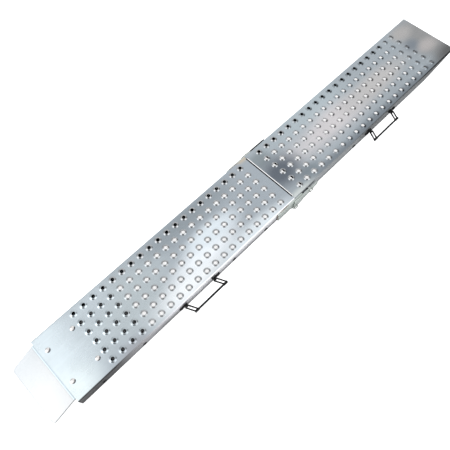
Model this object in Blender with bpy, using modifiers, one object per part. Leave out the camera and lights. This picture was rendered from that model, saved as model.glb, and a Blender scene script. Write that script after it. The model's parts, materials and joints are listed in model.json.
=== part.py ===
"""Folding steel loading ramp: two punched channel halves on a hinge, a tongue and two handles.

Every piece is modelled in the frame of its half: the origin is on the hinge axis, midway across
the ramp. X runs along the ramp from the tongue (minus) to the ground end (plus), Y runs across it
towards the side without handles, and Z is up. Two empties on the hinge axis carry the halves.
"""
import math

import bmesh
import bpy
from mathutils import Matrix, Vector

# Driving dimensions, in metres.
WIDTH = 0.225
SHEET = 0.002
FLANGE_HEIGHT = 0.045
LIP = 0.0145
BEND = 0.004
FIT = 0.0003

TONGUE_HALF = 0.861
GROUND_HALF = 0.878
SEAM_CLEARANCE = 0.0003
TONGUE_SLOT = 0.0018
GROUND_SLOT = 0.0042
SLOT_HALF_WIDTH = 0.104

PITCH = 0.036
COLUMNS = 6
TONGUE_ROWS = 20
GROUND_ROWS = 21
TONGUE_FIRST_ROW = 0.043
GROUND_FIRST_ROW = 0.0475
DIMPLE_HEIGHT = 0.0027
DIMPLE_BASE_RADIUS = 0.0110
HOLE_RADIUS = 0.0062
DIMPLE_SIDES = 6

TAPER_START = 0.700
TAPER_END_DEPTH = 0.0045

LIFT = 0.001                      # flange bottoms stand this far above the hinge axis
LOBE_RADIUS = 0.010
HINGE_PLATE = 0.004
TONGUE_PLATE_REACH = 0.080
GROUND_PLATE_REACH = 0.104
PIVOT_RADIUS = 0.004
PIVOT_NOTCH = 0.0105
TIE_X = 0.070
TIE_Z = 0.0225
TIE_TUBE_RADIUS = 0.008

TONGUE_SHEET = 0.003
TONGUE_HALF_WIDTH = 0.100
TONGUE_INNER_X = -0.741
TONGUE_BEND_X = -0.864
TONGUE_LIP = 0.086
TONGUE_SLOPE = math.radians(24)
TONGUE_BEND_RADIUS = 0.012
TONGUE_CHAMFER = 0.007
TONGUE_BOLTS = [(x, y) for x in (-0.841, -0.755) for y in (-0.0585, 0.0585)]
BOLT_RADIUS = 0.004

FLOOR_PLATE_XS = (-0.859, -0.592)
END_DOUBLER_XS = (0.705, 0.870)
TONGUE_HOLE_XS = (-0.784, -0.637, -0.275, -0.133)
GROUND_HOLE_XS = (0.306,)
FLANGE_HOLE_RADIUS = 0.004
TONGUE_CROSS_XS = (-0.637, -0.269, -0.126)
GROUND_CROSS_XS = (0.1215, 0.306, 0.6385)
CROSS_Z = 0.0115
CROSS_RADIUS = 0.004
CROSS_BORE = 0.0027

STIFFENER_LEG = 0.022
TONGUE_STIFFENER_SHEET = 0.002
GROUND_STIFFENER_SHEET = 0.003
GROUND_STIFFENER_FACE = 0.0006

HANDLE_XS = (-0.420, 0.450)
HANDLE_AXIS_Y = -0.1186
HANDLE_AXIS_Z = 0.019
HANDLE_HALF_SPAN = 0.0585
HANDLE_REACH = 0.030
HANDLE_LEAN = 0.013
WIRE_RADIUS = 0.0018
GRIP_RADIUS = 0.0020
ARM_HALF_GAP = 0.0054
ARM_CORNER = 0.0020
SLEEVE_RADIUS = 0.0026
SLEEVE_OVERHANG = 0.0024
KNUCKLE_RADIUS = 0.0039
KNUCKLE_HALF = 0.0015
FOOT_SHEET = 0.0025
FOOT_HEIGHT = 0.012
FOOT_LENGTH = 0.030
FOOT_INNER = 0.007
RIVET_OFFSET = 0.0155
RIVET_RADIUS = 0.0022

# Worked-out levels and places in a half's frame.
DECK_TOP = LIFT + FLANGE_HEIGHT
DECK_UNDER = DECK_TOP - SHEET
FLANGE_FACE = WIDTH / 2
PLATE_FACE = FLANGE_FACE + FIT
OUTER_PLATE_FACE = PLATE_FACE + HINGE_PLATE + FIT
OUTER_FACE = OUTER_PLATE_FACE + HINGE_PLATE
BOLT_HEAD = 0.005
TIE_NUT_HEIGHT = 0.003
NUT_HEIGHT = 0.006
NUT_RADIUS = 0.0075

# The ramp stands on the hinge lobes; the frame's origin is the bottom centre of the whole box.
TONGUE_TIP = (TONGUE_BEND_X - TONGUE_BEND_RADIUS * math.sin(TONGUE_SLOPE)
              - TONGUE_LIP * math.cos(TONGUE_SLOPE))
NEAR_REACH = HANDLE_AXIS_Y - HANDLE_REACH - SLEEVE_RADIUS
BACK_REACH = OUTER_FACE + FIT + BOLT_HEAD
AXIS_PLACE = Vector((-(TONGUE_TIP + GROUND_HALF) / 2, -(NEAR_REACH + BACK_REACH) / 2, LOBE_RADIUS))

for old in list(bpy.data.objects):
    bpy.data.objects.remove(old, do_unlink=True)


def new_collection(name):
    collection = bpy.data.collections.new(name)
    bpy.context.scene.collection.children.link(collection)
    return collection


PARTS = new_collection("folding_loading_ramp")
CUTTERS = new_collection("cutters")


def material(name, colour, roughness, metallic):
    made = bpy.data.materials.new(name)
    made.use_nodes = True
    shader = made.node_tree.nodes["Principled BSDF"]
    shader.inputs["Base Color"].default_value = (*colour, 1.0)
    shader.inputs["Roughness"].default_value = roughness
    shader.inputs["Metallic"].default_value = metallic
    return made


GALVANISED = material("galvanised_steel", (0.56, 0.60, 0.64), 0.34, 1.0)
BRIGHT_SHEET = material("bright_galvanised_sheet", (0.80, 0.82, 0.83), 0.28, 1.0)
SHADED_SHEET = material("inner_galvanised_sheet", (0.40, 0.42, 0.44), 0.50, 1.0)
ZINC = material("zinc_plated_hardware", (0.66, 0.65, 0.60), 0.30, 1.0)
BLACK = material("black_coated_steel", (0.02, 0.02, 0.022), 0.42, 0.0)


def empty(name, place, parent=None):
    made = bpy.data.objects.new(name, None)
    made.location = place
    made.parent = parent
    bpy.context.scene.collection.objects.link(made)
    return made


TONGUE_SIDE = empty("tongue_half_axis", AXIS_PLACE)
GROUND_SIDE = empty("ground_half_axis", AXIS_PLACE)


def link(made, parent, finish, collection=PARTS):
    collection.objects.link(made)
    made.parent = parent
    if finish:
        made.data.materials.append(finish)
    return made


def as_cutter(made):
    made.hide_render = True
    made.display_type = "WIRE"
    return made


def boolean(target, other, operation):
    modifier = target.modifiers.new(operation.lower(), "BOOLEAN")
    modifier.operation = operation
    modifier.solver = "EXACT"
    modifier.object = other


def mesh_object(name, shape, parent, finish, collection=PARTS, smooth=False):
    mesh = bpy.data.meshes.new(name)
    shape.to_mesh(mesh)
    shape.free()
    if smooth:
        mesh.shade_smooth()
        mesh.set_sharp_from_angle(angle=math.radians(35))
    return link(bpy.data.objects.new(name, mesh), parent, finish, collection)


def add_box(shape, low, high, turn=Matrix()):
    """A box between two corners, turned about its centre."""
    low, high = Vector(low), Vector(high)
    size = Matrix.Diagonal((*(high - low), 1.0))
    bmesh.ops.create_cube(shape, size=1.0, matrix=Matrix.Translation((low + high) / 2) @ turn @ size)


def add_cylinder(shape, start, end, radius, sides, top_radius=None):
    """A cylinder or cone from start to end."""
    start, end = Vector(start), Vector(end)
    run = end - start
    place = Matrix.Translation((start + end) / 2) @ run.to_track_quat("Z", "Y").to_matrix().to_4x4()
    bmesh.ops.create_cone(shape, cap_ends=True, segments=sides, radius1=radius,
                          radius2=radius if top_radius is None else top_radius,
                          depth=run.length, matrix=place)


def arc(centre, radius, start, end, steps):
    """Points on an arc, with the angles in degrees."""
    angles = [math.radians(start + (end - start) * step / steps) for step in range(steps + 1)]
    return [(centre[0] + radius * math.cos(a), centre[1] + radius * math.sin(a)) for a in angles]


def plate(name, loops, thickness, place, parent, finish, turn=(math.pi / 2, 0, 0)):
    """A flat outline with holes, of a given thickness; by default it stands in the XZ plane."""
    curve = bpy.data.curves.new(name, "CURVE")
    curve.dimensions = "2D"
    curve.fill_mode = "BOTH"
    curve.extrude = thickness / 2
    for loop in loops:
        spline = curve.splines.new("POLY")
        spline.points.add(len(loop) - 1)
        for point, (across, up) in zip(spline.points, loop):
            point.co = (across, up, 0, 1)
        spline.use_cyclic_u = True
    made = link(bpy.data.objects.new(name, curve), parent, finish)
    made.location = place
    made.rotation_euler = turn


def rectangle(low, high):
    return [low, (high[0], low[1]), high, (low[0], high[1])]


def circle(centre, radius, sides):
    return arc(centre, radius, 0, 360 - 360 / sides, sides - 1)


def bent_sheet(name, stations, section, thickness, parent, finish):
    """A sheet swept through stations along X, each with its own section of (y, z) points."""
    shape = bmesh.new()
    columns, rows = len(stations) - 1, len(section(0)) - 1
    bmesh.ops.create_grid(shape, x_segments=columns, y_segments=rows, size=1.0)
    for vertex in shape.verts:
        station = round((vertex.co.x + 1) / 2 * columns)
        across = round((vertex.co.y + 1) / 2 * rows)
        vertex.co = (stations[station], *section(station)[across])
    made = mesh_object(name, shape, parent, finish, smooth=True)
    shell = made.modifiers.new("sheet", "SOLIDIFY")
    shell.thickness = thickness
    shell.offset = -1.0
    shell.use_even_offset = True
    return made


def channel_section():
    """The outer face of the bent channel, from the near lip over the deck to the back lip."""
    near_low = arc((-FLANGE_FACE + BEND, LIFT + BEND), BEND, 270, 180, 2)
    near_high = arc((-FLANGE_FACE + BEND, DECK_TOP - BEND), BEND, 180, 90, 2)
    half = [(-FLANGE_FACE + LIP, LIFT), *near_low, *near_high]
    return half + [(-y, z) for y, z in reversed(half)]


def row_places(first, rows, side):
    columns = [PITCH * (column - (COLUMNS - 1) / 2) for column in range(COLUMNS)]
    return [(side * (first + PITCH * row), y) for row in range(rows) for y in columns]


def punch_deck(deck, name, parent, places):
    """Raise a dimple round each hole and cut the holes through."""
    raised, holes = bmesh.new(), bmesh.new()
    for x, y in places:
        add_cylinder(raised, (x, y, DECK_TOP - SHEET / 2), (x, y, DECK_TOP + DIMPLE_HEIGHT),
                     DIMPLE_BASE_RADIUS, DIMPLE_SIDES, HOLE_RADIUS)
        add_cylinder(holes, (x, y, DECK_UNDER - SHEET), (x, y, DECK_TOP + 2 * DIMPLE_HEIGHT),
                     HOLE_RADIUS, DIMPLE_SIDES)
    boolean(deck, as_cutter(mesh_object(name + "_dimples", raised, parent, None, CUTTERS)), "UNION")
    boolean(deck, as_cutter(mesh_object(name + "_holes", holes, parent, None, CUTTERS)), "DIFFERENCE")


def add_seam_cuts(cuts):
    """The slot between the two deck ends, and the corners cleared round the pivots."""
    beyond = FLANGE_FACE + 0.01
    for low, high in ((-beyond, -SLOT_HALF_WIDTH), (SLOT_HALF_WIDTH, beyond)):
        add_box(cuts, (-PIVOT_NOTCH, low, -0.01), (PIVOT_NOTCH, high, PIVOT_NOTCH))
    add_box(cuts, (-TONGUE_SLOT, -SLOT_HALF_WIDTH, DECK_UNDER - 0.005),
            (GROUND_SLOT, SLOT_HALF_WIDTH, DECK_TOP + 0.005))


def add_flange_holes(cuts, places, radius, far_side=True):
    """Round holes through the flanges at (x, z) places, on both sides or on the near side only."""
    beyond = FLANGE_FACE + 0.01
    for x, z in places:
        add_cylinder(cuts, (x, -beyond, z), (x, beyond if far_side else -FLANGE_FACE + 0.01, z), radius,
                     16)


def add_tongue_bolt_holes(cuts):
    for x, y in TONGUE_BOLTS:
        add_cylinder(cuts, (x, y, DECK_UNDER - 0.01), (x, y, DECK_TOP + 0.01), BOLT_RADIUS + FIT, 12)


def add_ground_taper(cuts):
    """A block under the ground end, which slopes the flanges up so that the end meets the ground."""
    run = GROUND_HALF - TAPER_START
    rise = DECK_TOP - TAPER_END_DEPTH - LIFT
    slope = math.atan2(rise, run)
    length, depth = 0.4, 0.1
    middle = Vector((TAPER_START + run / 2, 0, LIFT + rise / 2))
    centre = middle + Matrix.Rotation(-slope, 3, "Y") @ Vector((0, 0, -depth / 2))
    half = Vector((length / 2, WIDTH, depth / 2))
    add_box(cuts, centre - half, centre + half, Matrix.Rotation(-slope, 4, "Y"))


def make_deck(name, side, length, first_row, rows, parent, hole_xs, handle_x, add_end_cuts):
    """One half: the bent channel with its hinge corners, flange holes and punched deck."""
    ends = sorted((side * SEAM_CLEARANCE, side * length))
    between_rows = [side * (first_row + PITCH * (row - 0.5)) for row in range(4, rows, 4)]
    section = channel_section()
    deck = bent_sheet(name, sorted([*ends, *between_rows]), lambda station: section, SHEET, parent,
                      GALVANISED)
    cuts = bmesh.new()
    add_seam_cuts(cuts)
    add_flange_holes(cuts, [(x, CROSS_Z) for x in hole_xs], FLANGE_HOLE_RADIUS)
    rivets = [(handle_x + arm * (HANDLE_HALF_SPAN + RIVET_OFFSET), HANDLE_AXIS_Z) for arm in (-1, 1)]
    add_flange_holes(cuts, rivets, RIVET_RADIUS + FIT, far_side=False)
    add_end_cuts(cuts)
    boolean(deck, as_cutter(mesh_object(name + "_cuts", cuts, parent, None, CUTTERS)), "DIFFERENCE")
    punch_deck(deck, name, parent, row_places(first_row, rows, side))


def add_ground_cuts(cuts):
    add_flange_holes(cuts, [(TIE_X, TIE_Z)], PIVOT_RADIUS + FIT)
    add_ground_taper(cuts)


def make_tongue_plate():
    """The bright tongue: flat under the deck, then bent down to its tip."""
    top = DECK_UNDER - FIT
    steps = 3
    line = [(TONGUE_INNER_X, top)]
    for step in range(steps + 1):
        angle = TONGUE_SLOPE * step / steps
        line.append((TONGUE_BEND_X - TONGUE_BEND_RADIUS * math.sin(angle),
                     top - TONGUE_BEND_RADIUS * (1 - math.cos(angle))))
    bend_x, bend_z = line[-1]
    for along in (TONGUE_LIP - TONGUE_CHAMFER, TONGUE_LIP):
        line.append((bend_x - along * math.cos(TONGUE_SLOPE), bend_z - along * math.sin(TONGUE_SLOPE)))
    line.reverse()
    widths = [TONGUE_HALF_WIDTH - TONGUE_CHAMFER] + [TONGUE_HALF_WIDTH] * (len(line) - 1)

    def section(station):
        return [(side * widths[station], line[station][1]) for side in (-1, 1)]

    tongue = bent_sheet("tongue_plate", [x for x, _ in line], section, TONGUE_SHEET, TONGUE_SIDE,
                        BRIGHT_SHEET)
    holes = bmesh.new()
    add_tongue_bolt_holes(holes)
    boolean(tongue, as_cutter(mesh_object("tongue_plate_holes", holes, TONGUE_SIDE, None, CUTTERS)),
            "DIFFERENCE")


def make_carriage_bolt(name, x, y):
    """A round-headed bolt turned as one profile, standing through the deck and the tongue."""
    head_radius, head_height, steps = 0.0075, 0.0038, 4
    tip = DECK_UNDER - TONGUE_SHEET - NUT_HEIGHT - 0.004
    profile = [(head_radius * math.cos(a), FIT + head_height * math.sin(a))
               for a in (math.pi / 2 * (steps - step) / steps for step in range(steps + 1))]
    profile[0] = (0.0, profile[0][1])
    profile += [(BOLT_RADIUS, FIT), (BOLT_RADIUS, tip - DECK_TOP), (0.0, tip - DECK_TOP)]
    shape = bmesh.new()
    points = [shape.verts.new((radius, 0, height)) for radius, height in profile]
    for first, second in zip(points, points[1:]):
        shape.edges.new((first, second))
    made = mesh_object(name, shape, TONGUE_SIDE, ZINC)
    turned = made.modifiers.new("turned", "SCREW")
    turned.steps = turned.render_steps = 12
    turned.use_merge_vertices = True
    turned.merge_threshold = 0.00005
    turned.use_smooth_shade = False
    made.location = (x, y, DECK_TOP)


def make_nut(name, centre, parent, height=NUT_HEIGHT, turn=(math.pi / 2, 0, 0)):
    bore = circle((0, 0), PIVOT_RADIUS + FIT, 12)
    plate(name, [circle((0, 0), NUT_RADIUS, 6), bore], height, centre, parent, ZINC, turn)


def make_hex_bolt(name, x, z, head_y, tip_y, parent):
    """A bolt across the ramp: its head stands outward from head_y, its shank runs to tip_y."""
    outward = math.copysign(1.0, head_y)
    head, shank = bmesh.new(), bmesh.new()
    add_cylinder(head, (x, head_y, z), (x, head_y + outward * BOLT_HEAD, z), NUT_RADIUS, 6)
    add_cylinder(shank, (x, tip_y, z), (x, head_y + outward * BOLT_HEAD / 2, z),
                 PIVOT_RADIUS, 12)
    bolt = mesh_object(name, head, parent, ZINC, smooth=True)
    boolean(bolt, as_cutter(mesh_object(name + "_shank", shank, parent, None, CUTTERS)), "UNION")


def make_hinge_side(side, label):
    """The two hinge plates and the pivot on one side: the tongue half's plate is the inner one."""
    top, low = 0.041, 0.003
    pivot_hole = circle((0, 0), PIVOT_RADIUS + FIT, 12)
    tongue_outline = [(-TONGUE_PLATE_REACH, low), (-TONGUE_PLATE_REACH, top), (0.030, top),
                      (0.034, top - 0.004), (0.034, 0.028),
                      *arc((0, 0), LOBE_RADIUS, 40, -140, 12), (-0.020, low)]
    inner_y = side * (PLATE_FACE + HINGE_PLATE / 2)
    plate(f"tongue_hinge_plate_{label}", [tongue_outline, pivot_hole], HINGE_PLATE,
          (0, inner_y, 0), TONGUE_SIDE, GALVANISED)

    ground_outline = [(GROUND_PLATE_REACH, 0.020), (GROUND_PLATE_REACH, 0.034), (-0.006, 0.036),
                      *arc((0, 0), LOBE_RADIUS, 150, 320, 12), (0.040, 0.005), (0.076, 0.012)]
    tie_hole = circle((TIE_X, TIE_Z), PIVOT_RADIUS + FIT, 12)
    outer_y = side * (OUTER_PLATE_FACE + HINGE_PLATE / 2)
    plate(f"ground_hinge_plate_{label}", [ground_outline, pivot_hole, tie_hole], HINGE_PLATE,
          (0, outer_y, 0), GROUND_SIDE, GALVANISED)

    gap = OUTER_PLATE_FACE - FLANGE_FACE - 2 * FIT
    plate(f"hinge_spacer_{label}", [circle((0, 0), TIE_TUBE_RADIUS, 16),
                                    circle((0, 0), PIVOT_RADIUS + FIT, 12)],
          gap, (TIE_X, side * (FLANGE_FACE + FIT + gap / 2), TIE_Z), GROUND_SIDE, ZINC)

    nut_y = PLATE_FACE - FIT - NUT_HEIGHT / 2
    make_hex_bolt(f"pivot_bolt_{label}", 0, 0, side * (OUTER_FACE + FIT),
                  side * (nut_y - NUT_HEIGHT / 2 - 0.001), TONGUE_SIDE)
    make_nut(f"pivot_nut_{label}", (0, side * nut_y, 0), TONGUE_SIDE)


def make_tie():
    """The tie across the ground half: a tube between the flanges with one long bolt in it."""
    ring = [circle((0, 0), TIE_TUBE_RADIUS, 16), circle((0, 0), PIVOT_RADIUS + FIT, 12)]
    plate("hinge_tie_tube", ring, WIDTH - 2 * (SHEET + FIT), (TIE_X, 0, TIE_Z), GROUND_SIDE, ZINC)
    make_hex_bolt("hinge_tie_bolt", TIE_X, TIE_Z, -(OUTER_FACE + FIT),
                  OUTER_FACE + FIT + TIE_NUT_HEIGHT, GROUND_SIDE)
    make_nut("hinge_tie_nut", (TIE_X, OUTER_FACE + FIT + TIE_NUT_HEIGHT / 2, TIE_Z), GROUND_SIDE,
             TIE_NUT_HEIGHT)


def make_cross_member(name, x, parent):
    """A round tube across the channel between the flanges."""
    ring = [circle((0, 0), CROSS_RADIUS, 16), circle((0, 0), CROSS_BORE, 12)]
    plate(name, ring, WIDTH - 2 * (SHEET + FIT), (x, 0, CROSS_Z), parent, SHADED_SHEET)


def make_flat(name, x_range, half_width, low, thickness, parent, finish):
    shape = bmesh.new()
    add_box(shape, (x_range[0], -half_width, low), (x_range[1], half_width, low + thickness))
    return mesh_object(name, shape, parent, finish)


def make_seam_stiffener(name, side, face, sheet, rise, parent):
    """An angle under the deck's end; its upright leg may rise into the slot between the decks."""
    top = DECK_UNDER - FIT
    inner = face + side * sheet
    angle = [(face, top + rise), (face, top - STIFFENER_LEG), (inner, top - STIFFENER_LEG),
             (inner, top - sheet), (face + side * STIFFENER_LEG, top - sheet),
             (face + side * STIFFENER_LEG, top)]
    if rise:
        angle += [(inner, top), (inner, top + rise)]
    plate(name, [angle], 2 * (SLOT_HALF_WIDTH - FIT), (0, 0, 0), parent, BRIGHT_SHEET)


def arm_loop(x, lean):
    """The closed wire of one handle arm, as (x, reach) points with rounded corners."""
    corners = ((1, 0, 0), (1, 1, 90), (-1, 1, 180), (-1, 0, 270))
    points = []
    for across, far, start in corners:
        centre = (x + lean * far + across * (ARM_HALF_GAP - ARM_CORNER),
                  HANDLE_REACH * far + ARM_CORNER * (1 - 2 * far))
        points += arc(centre, ARM_CORNER, start - 90, start, 2)
    return points


def make_handle(label, handle_x, parent, side):
    """A wire handle: two looped arms leaning towards the hinge, and the grip between their sleeves."""
    axis = empty(f"handle_axis_{label}", (handle_x, HANDLE_AXIS_Y, HANDLE_AXIS_Z), parent)
    lean = -side * HANDLE_LEAN
    grip_y = -HANDLE_REACH
    rods = bmesh.new()
    reach_x = HANDLE_HALF_SPAN + ARM_HALF_GAP
    add_cylinder(rods, (lean - reach_x, grip_y, 0), (lean + reach_x, grip_y, 0), GRIP_RADIUS, 10)
    bail = mesh_object(f"handle_{label}", rods, axis, BLACK, smooth=True)
    for arm in (-1, 1):
        curve = bpy.data.curves.new(f"arm_{label}_{arm}", "CURVE")
        curve.dimensions = "3D"
        curve.bevel_depth = WIRE_RADIUS
        curve.bevel_resolution = 2
        points = arm_loop(arm * HANDLE_HALF_SPAN, lean)
        spline = curve.splines.new("POLY")
        spline.points.add(len(points) - 1)
        for point, (x, reach) in zip(spline.points, points):
            point.co = (x, -reach, 0, 1)
        spline.use_cyclic_u = True
        wire = bpy.data.objects.new(curve.name, curve)
        CUTTERS.objects.link(wire)
        bpy.context.view_layer.update()
        mesh = bpy.data.meshes.new_from_object(wire.evaluated_get(bpy.context.evaluated_depsgraph_get()))
        bpy.data.objects.remove(wire)
        loop = as_cutter(link(bpy.data.objects.new(curve.name, mesh), axis, None, CUTTERS))
        boolean(bail, loop, "UNION")
        sleeve = bmesh.new()
        middle = lean + arm * HANDLE_HALF_SPAN
        half = ARM_HALF_GAP + SLEEVE_OVERHANG
        add_cylinder(sleeve, (middle - half, grip_y, 0), (middle + half, grip_y, 0), SLEEVE_RADIUS, 10)
        boolean(bail, as_cutter(mesh_object(curve.name + "_sleeve", sleeve, axis, None, CUTTERS)), "UNION")
    for arm, end in ((-1, "tongue_end"), (1, "ground_end")):
        make_handle_foot(f"{label}_{end}", handle_x + arm * HANDLE_HALF_SPAN, arm, parent)


def make_handle_foot(label, x, outward, parent):
    """A riveted foot: a plate on the flange, with the knuckle that holds the arm's inner bar."""
    face = -(FLANGE_FACE + FIT)
    ends = sorted((x - outward * FOOT_INNER, x + outward * (FOOT_LENGTH - FOOT_INNER)))
    rivet_x = x + outward * RIVET_OFFSET
    half_height = FOOT_HEIGHT / 2
    base, barrel, bores = bmesh.new(), bmesh.new(), bmesh.new()
    add_box(base, (ends[0], face - FOOT_SHEET, HANDLE_AXIS_Z - half_height),
            (ends[1], face, HANDLE_AXIS_Z + half_height))
    knuckle = [(x + end * KNUCKLE_HALF, HANDLE_AXIS_Y, HANDLE_AXIS_Z) for end in (-1, 1)]
    add_cylinder(barrel, *knuckle, KNUCKLE_RADIUS, 12)
    add_cylinder(bores, (knuckle[0][0] - 0.01, *knuckle[0][1:]), (knuckle[1][0] + 0.01, *knuckle[1][1:]),
                 WIRE_RADIUS + FIT, 12)
    add_cylinder(bores, (rivet_x, face - 0.01, HANDLE_AXIS_Z), (rivet_x, face + 0.002, HANDLE_AXIS_Z),
                 RIVET_RADIUS + FIT, 8)
    foot = mesh_object(f"handle_foot_{label}", base, parent, BLACK)
    boolean(foot, as_cutter(mesh_object(foot.name + "_knuckle", barrel, parent, None, CUTTERS)), "UNION")
    boolean(foot, as_cutter(mesh_object(foot.name + "_bores", bores, parent, None, CUTTERS)), "DIFFERENCE")

    head, shank = bmesh.new(), bmesh.new()
    head_y = face - FOOT_SHEET - FIT
    add_cylinder(head, (rivet_x, head_y, HANDLE_AXIS_Z), (rivet_x, head_y - 0.0018, HANDLE_AXIS_Z),
                 0.0038, 10, 0.0024)
    add_cylinder(shank, (rivet_x, head_y - 0.0009, HANDLE_AXIS_Z),
                 (rivet_x, -FLANGE_FACE + SHEET + 0.001, HANDLE_AXIS_Z), RIVET_RADIUS, 8)
    rivet = mesh_object(f"handle_rivet_{label}", head, parent, BLACK)
    boolean(rivet, as_cutter(mesh_object(rivet.name + "_shank", shank, parent, None, CUTTERS)), "UNION")


make_deck("tongue_half_deck", -1, TONGUE_HALF, TONGUE_FIRST_ROW, TONGUE_ROWS, TONGUE_SIDE,
          TONGUE_HOLE_XS, HANDLE_XS[0], add_tongue_bolt_holes)
make_deck("ground_half_deck", 1, GROUND_HALF, GROUND_FIRST_ROW, GROUND_ROWS, GROUND_SIDE,
          GROUND_HOLE_XS, HANDLE_XS[1], add_ground_cuts)
make_tongue_plate()
for index, (bolt_x, bolt_y) in enumerate(TONGUE_BOLTS, 1):
    make_carriage_bolt(f"tongue_bolt_{index}", bolt_x, bolt_y)
    nut_z = DECK_UNDER - TONGUE_SHEET - 2 * FIT - NUT_HEIGHT / 2
    make_nut(f"tongue_nut_{index}", (bolt_x, bolt_y, nut_z), TONGUE_SIDE, turn=(0, 0, 0))

make_flat("tongue_floor_plate", FLOOR_PLATE_XS, 0.108, LIFT + SHEET + FIT, SHEET, TONGUE_SIDE, SHADED_SHEET)
make_flat("ground_end_doubler", END_DOUBLER_XS, 0.108, DECK_UNDER - FIT - SHEET, SHEET, GROUND_SIDE,
          SHADED_SHEET)
for index, cross_x in enumerate(TONGUE_CROSS_XS, 1):
    make_cross_member(f"tongue_cross_member_{index}", cross_x, TONGUE_SIDE)
for index, cross_x in enumerate(GROUND_CROSS_XS, 1):
    make_cross_member(f"ground_cross_member_{index}", cross_x, GROUND_SIDE)
make_seam_stiffener("tongue_seam_stiffener", -1, -TONGUE_SLOT, TONGUE_STIFFENER_SHEET, 0, TONGUE_SIDE)
make_seam_stiffener("ground_seam_stiffener", 1, GROUND_STIFFENER_FACE, GROUND_STIFFENER_SHEET, SHEET,
                    GROUND_SIDE)
for hinge_side, hinge_label in ((-1, "near"), (1, "back")):
    make_hinge_side(hinge_side, hinge_label)
make_tie()
make_handle("tongue", HANDLE_XS[0], TONGUE_SIDE, -1)
make_handle("ground", HANDLE_XS[1], GROUND_SIDE, 1)
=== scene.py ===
import json
import math

import bmesh
import bpy
import numpy as np
from mathutils import Matrix, Vector, noise


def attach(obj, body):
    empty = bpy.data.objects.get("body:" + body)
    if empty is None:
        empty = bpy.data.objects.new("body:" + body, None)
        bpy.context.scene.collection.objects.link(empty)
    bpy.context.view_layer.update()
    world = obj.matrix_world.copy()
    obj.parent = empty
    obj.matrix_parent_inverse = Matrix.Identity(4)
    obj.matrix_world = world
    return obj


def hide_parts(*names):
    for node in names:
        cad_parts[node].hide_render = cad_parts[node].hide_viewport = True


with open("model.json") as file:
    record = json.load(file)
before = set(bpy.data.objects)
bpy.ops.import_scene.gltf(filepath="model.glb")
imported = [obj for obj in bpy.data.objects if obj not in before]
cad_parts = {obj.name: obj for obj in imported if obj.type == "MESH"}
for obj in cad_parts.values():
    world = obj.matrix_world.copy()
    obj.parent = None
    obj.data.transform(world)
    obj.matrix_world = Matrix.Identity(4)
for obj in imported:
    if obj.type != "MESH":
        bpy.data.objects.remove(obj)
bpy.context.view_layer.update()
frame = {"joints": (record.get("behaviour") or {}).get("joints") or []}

JOINTS = {joint["name"]: joint for joint in frame["joints"]}
HINGE = Vector(JOINTS["fold_hinge"]["pos_m"])

# The square grid of punched dimples. Lengths are in metres throughout.
PITCH = 0.036
COLUMNS = 6
MIDDLE_COLUMN = (COLUMNS - 1) / 2
COLUMN_YS = [PITCH * (column - MIDDLE_COLUMN) for column in range(COLUMNS)]
CELL_STEPS = 6
CELL = PITCH / CELL_STEPS
CELLS_EDGE = COLUMNS / 2 * PITCH
TONGUE_FIRST_ROW, TONGUE_ROWS = 0.043, 20
GROUND_FIRST_ROW, GROUND_ROWS = 0.0475, 21
# The bent channels: the sheet, its bends, the turned-in lip, and the heights of lip and deck.
SHEET = 0.002
BEND = 0.004
LIP = 0.0145
LIFT = 0.001
DECK_TOP = 0.046
DECK_UNDER = DECK_TOP - SHEET
FLANGE = 0.1125
# The cut-away corners at the seam, half the seam's gap, and the slots in the decks' ends.
NOTCH = 0.0105
SEAM = 0.0003
TONGUE_SLOT, GROUND_SLOT = 0.0036, 0.0048
SLOT_HALF_WIDTH = CELLS_EDGE - CELL
# Radius and height of the rings that make one punched dimple, from the flat deck to the hole.
DIMPLE_RINGS = ((0.0152, 0.0), (0.0120, 0.00002), (0.0112, 0.00022), (0.0103, 0.00068),
                (0.0094, 0.00130), (0.0084, 0.00190), (0.0075, 0.00238), (0.0066, 0.00262),
                (0.0059, 0.00268))
DIMPLE_REACH = 0.0118
TONGUE_LENGTH, GROUND_LENGTH = 0.863, 0.881
TAPER_START = 0.700
TAPER_END_DEPTH = 0.0045
# The holes in the flanges, and the cross tubes between the flanges.
TONGUE_HOLE_XS, GROUND_HOLE_X = (-0.784, -0.637, -0.275, -0.133), 0.306
TONGUE_CROSS_XS = (-0.637, -0.269, -0.126)
GROUND_CROSS_XS = (0.1215, 0.306, 0.6385)
CROSS_Z = 0.0115
CROSS_RADIUS, CROSS_BORE = 0.004, 0.0027
FLANGE_HOLE_RADIUS = 0.004

TONGUE_PLATE = 0.003
HINGE_PLATE = 0.004
# The gap between touching pieces.
FIT = 0.0003
# Where the tie crosses the ramp, and its tube's radius.
TIE = (0.070, 0.0225)
TIE_TUBE_RADIUS = 0.008
BOLT_RADIUS = 0.004
NUT_RADIUS = 0.0075
BOLT_HEAD_HEIGHT = 0.005
NUT_HEIGHT = 0.006


# ---------------------------------------------------------------- materials

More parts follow.
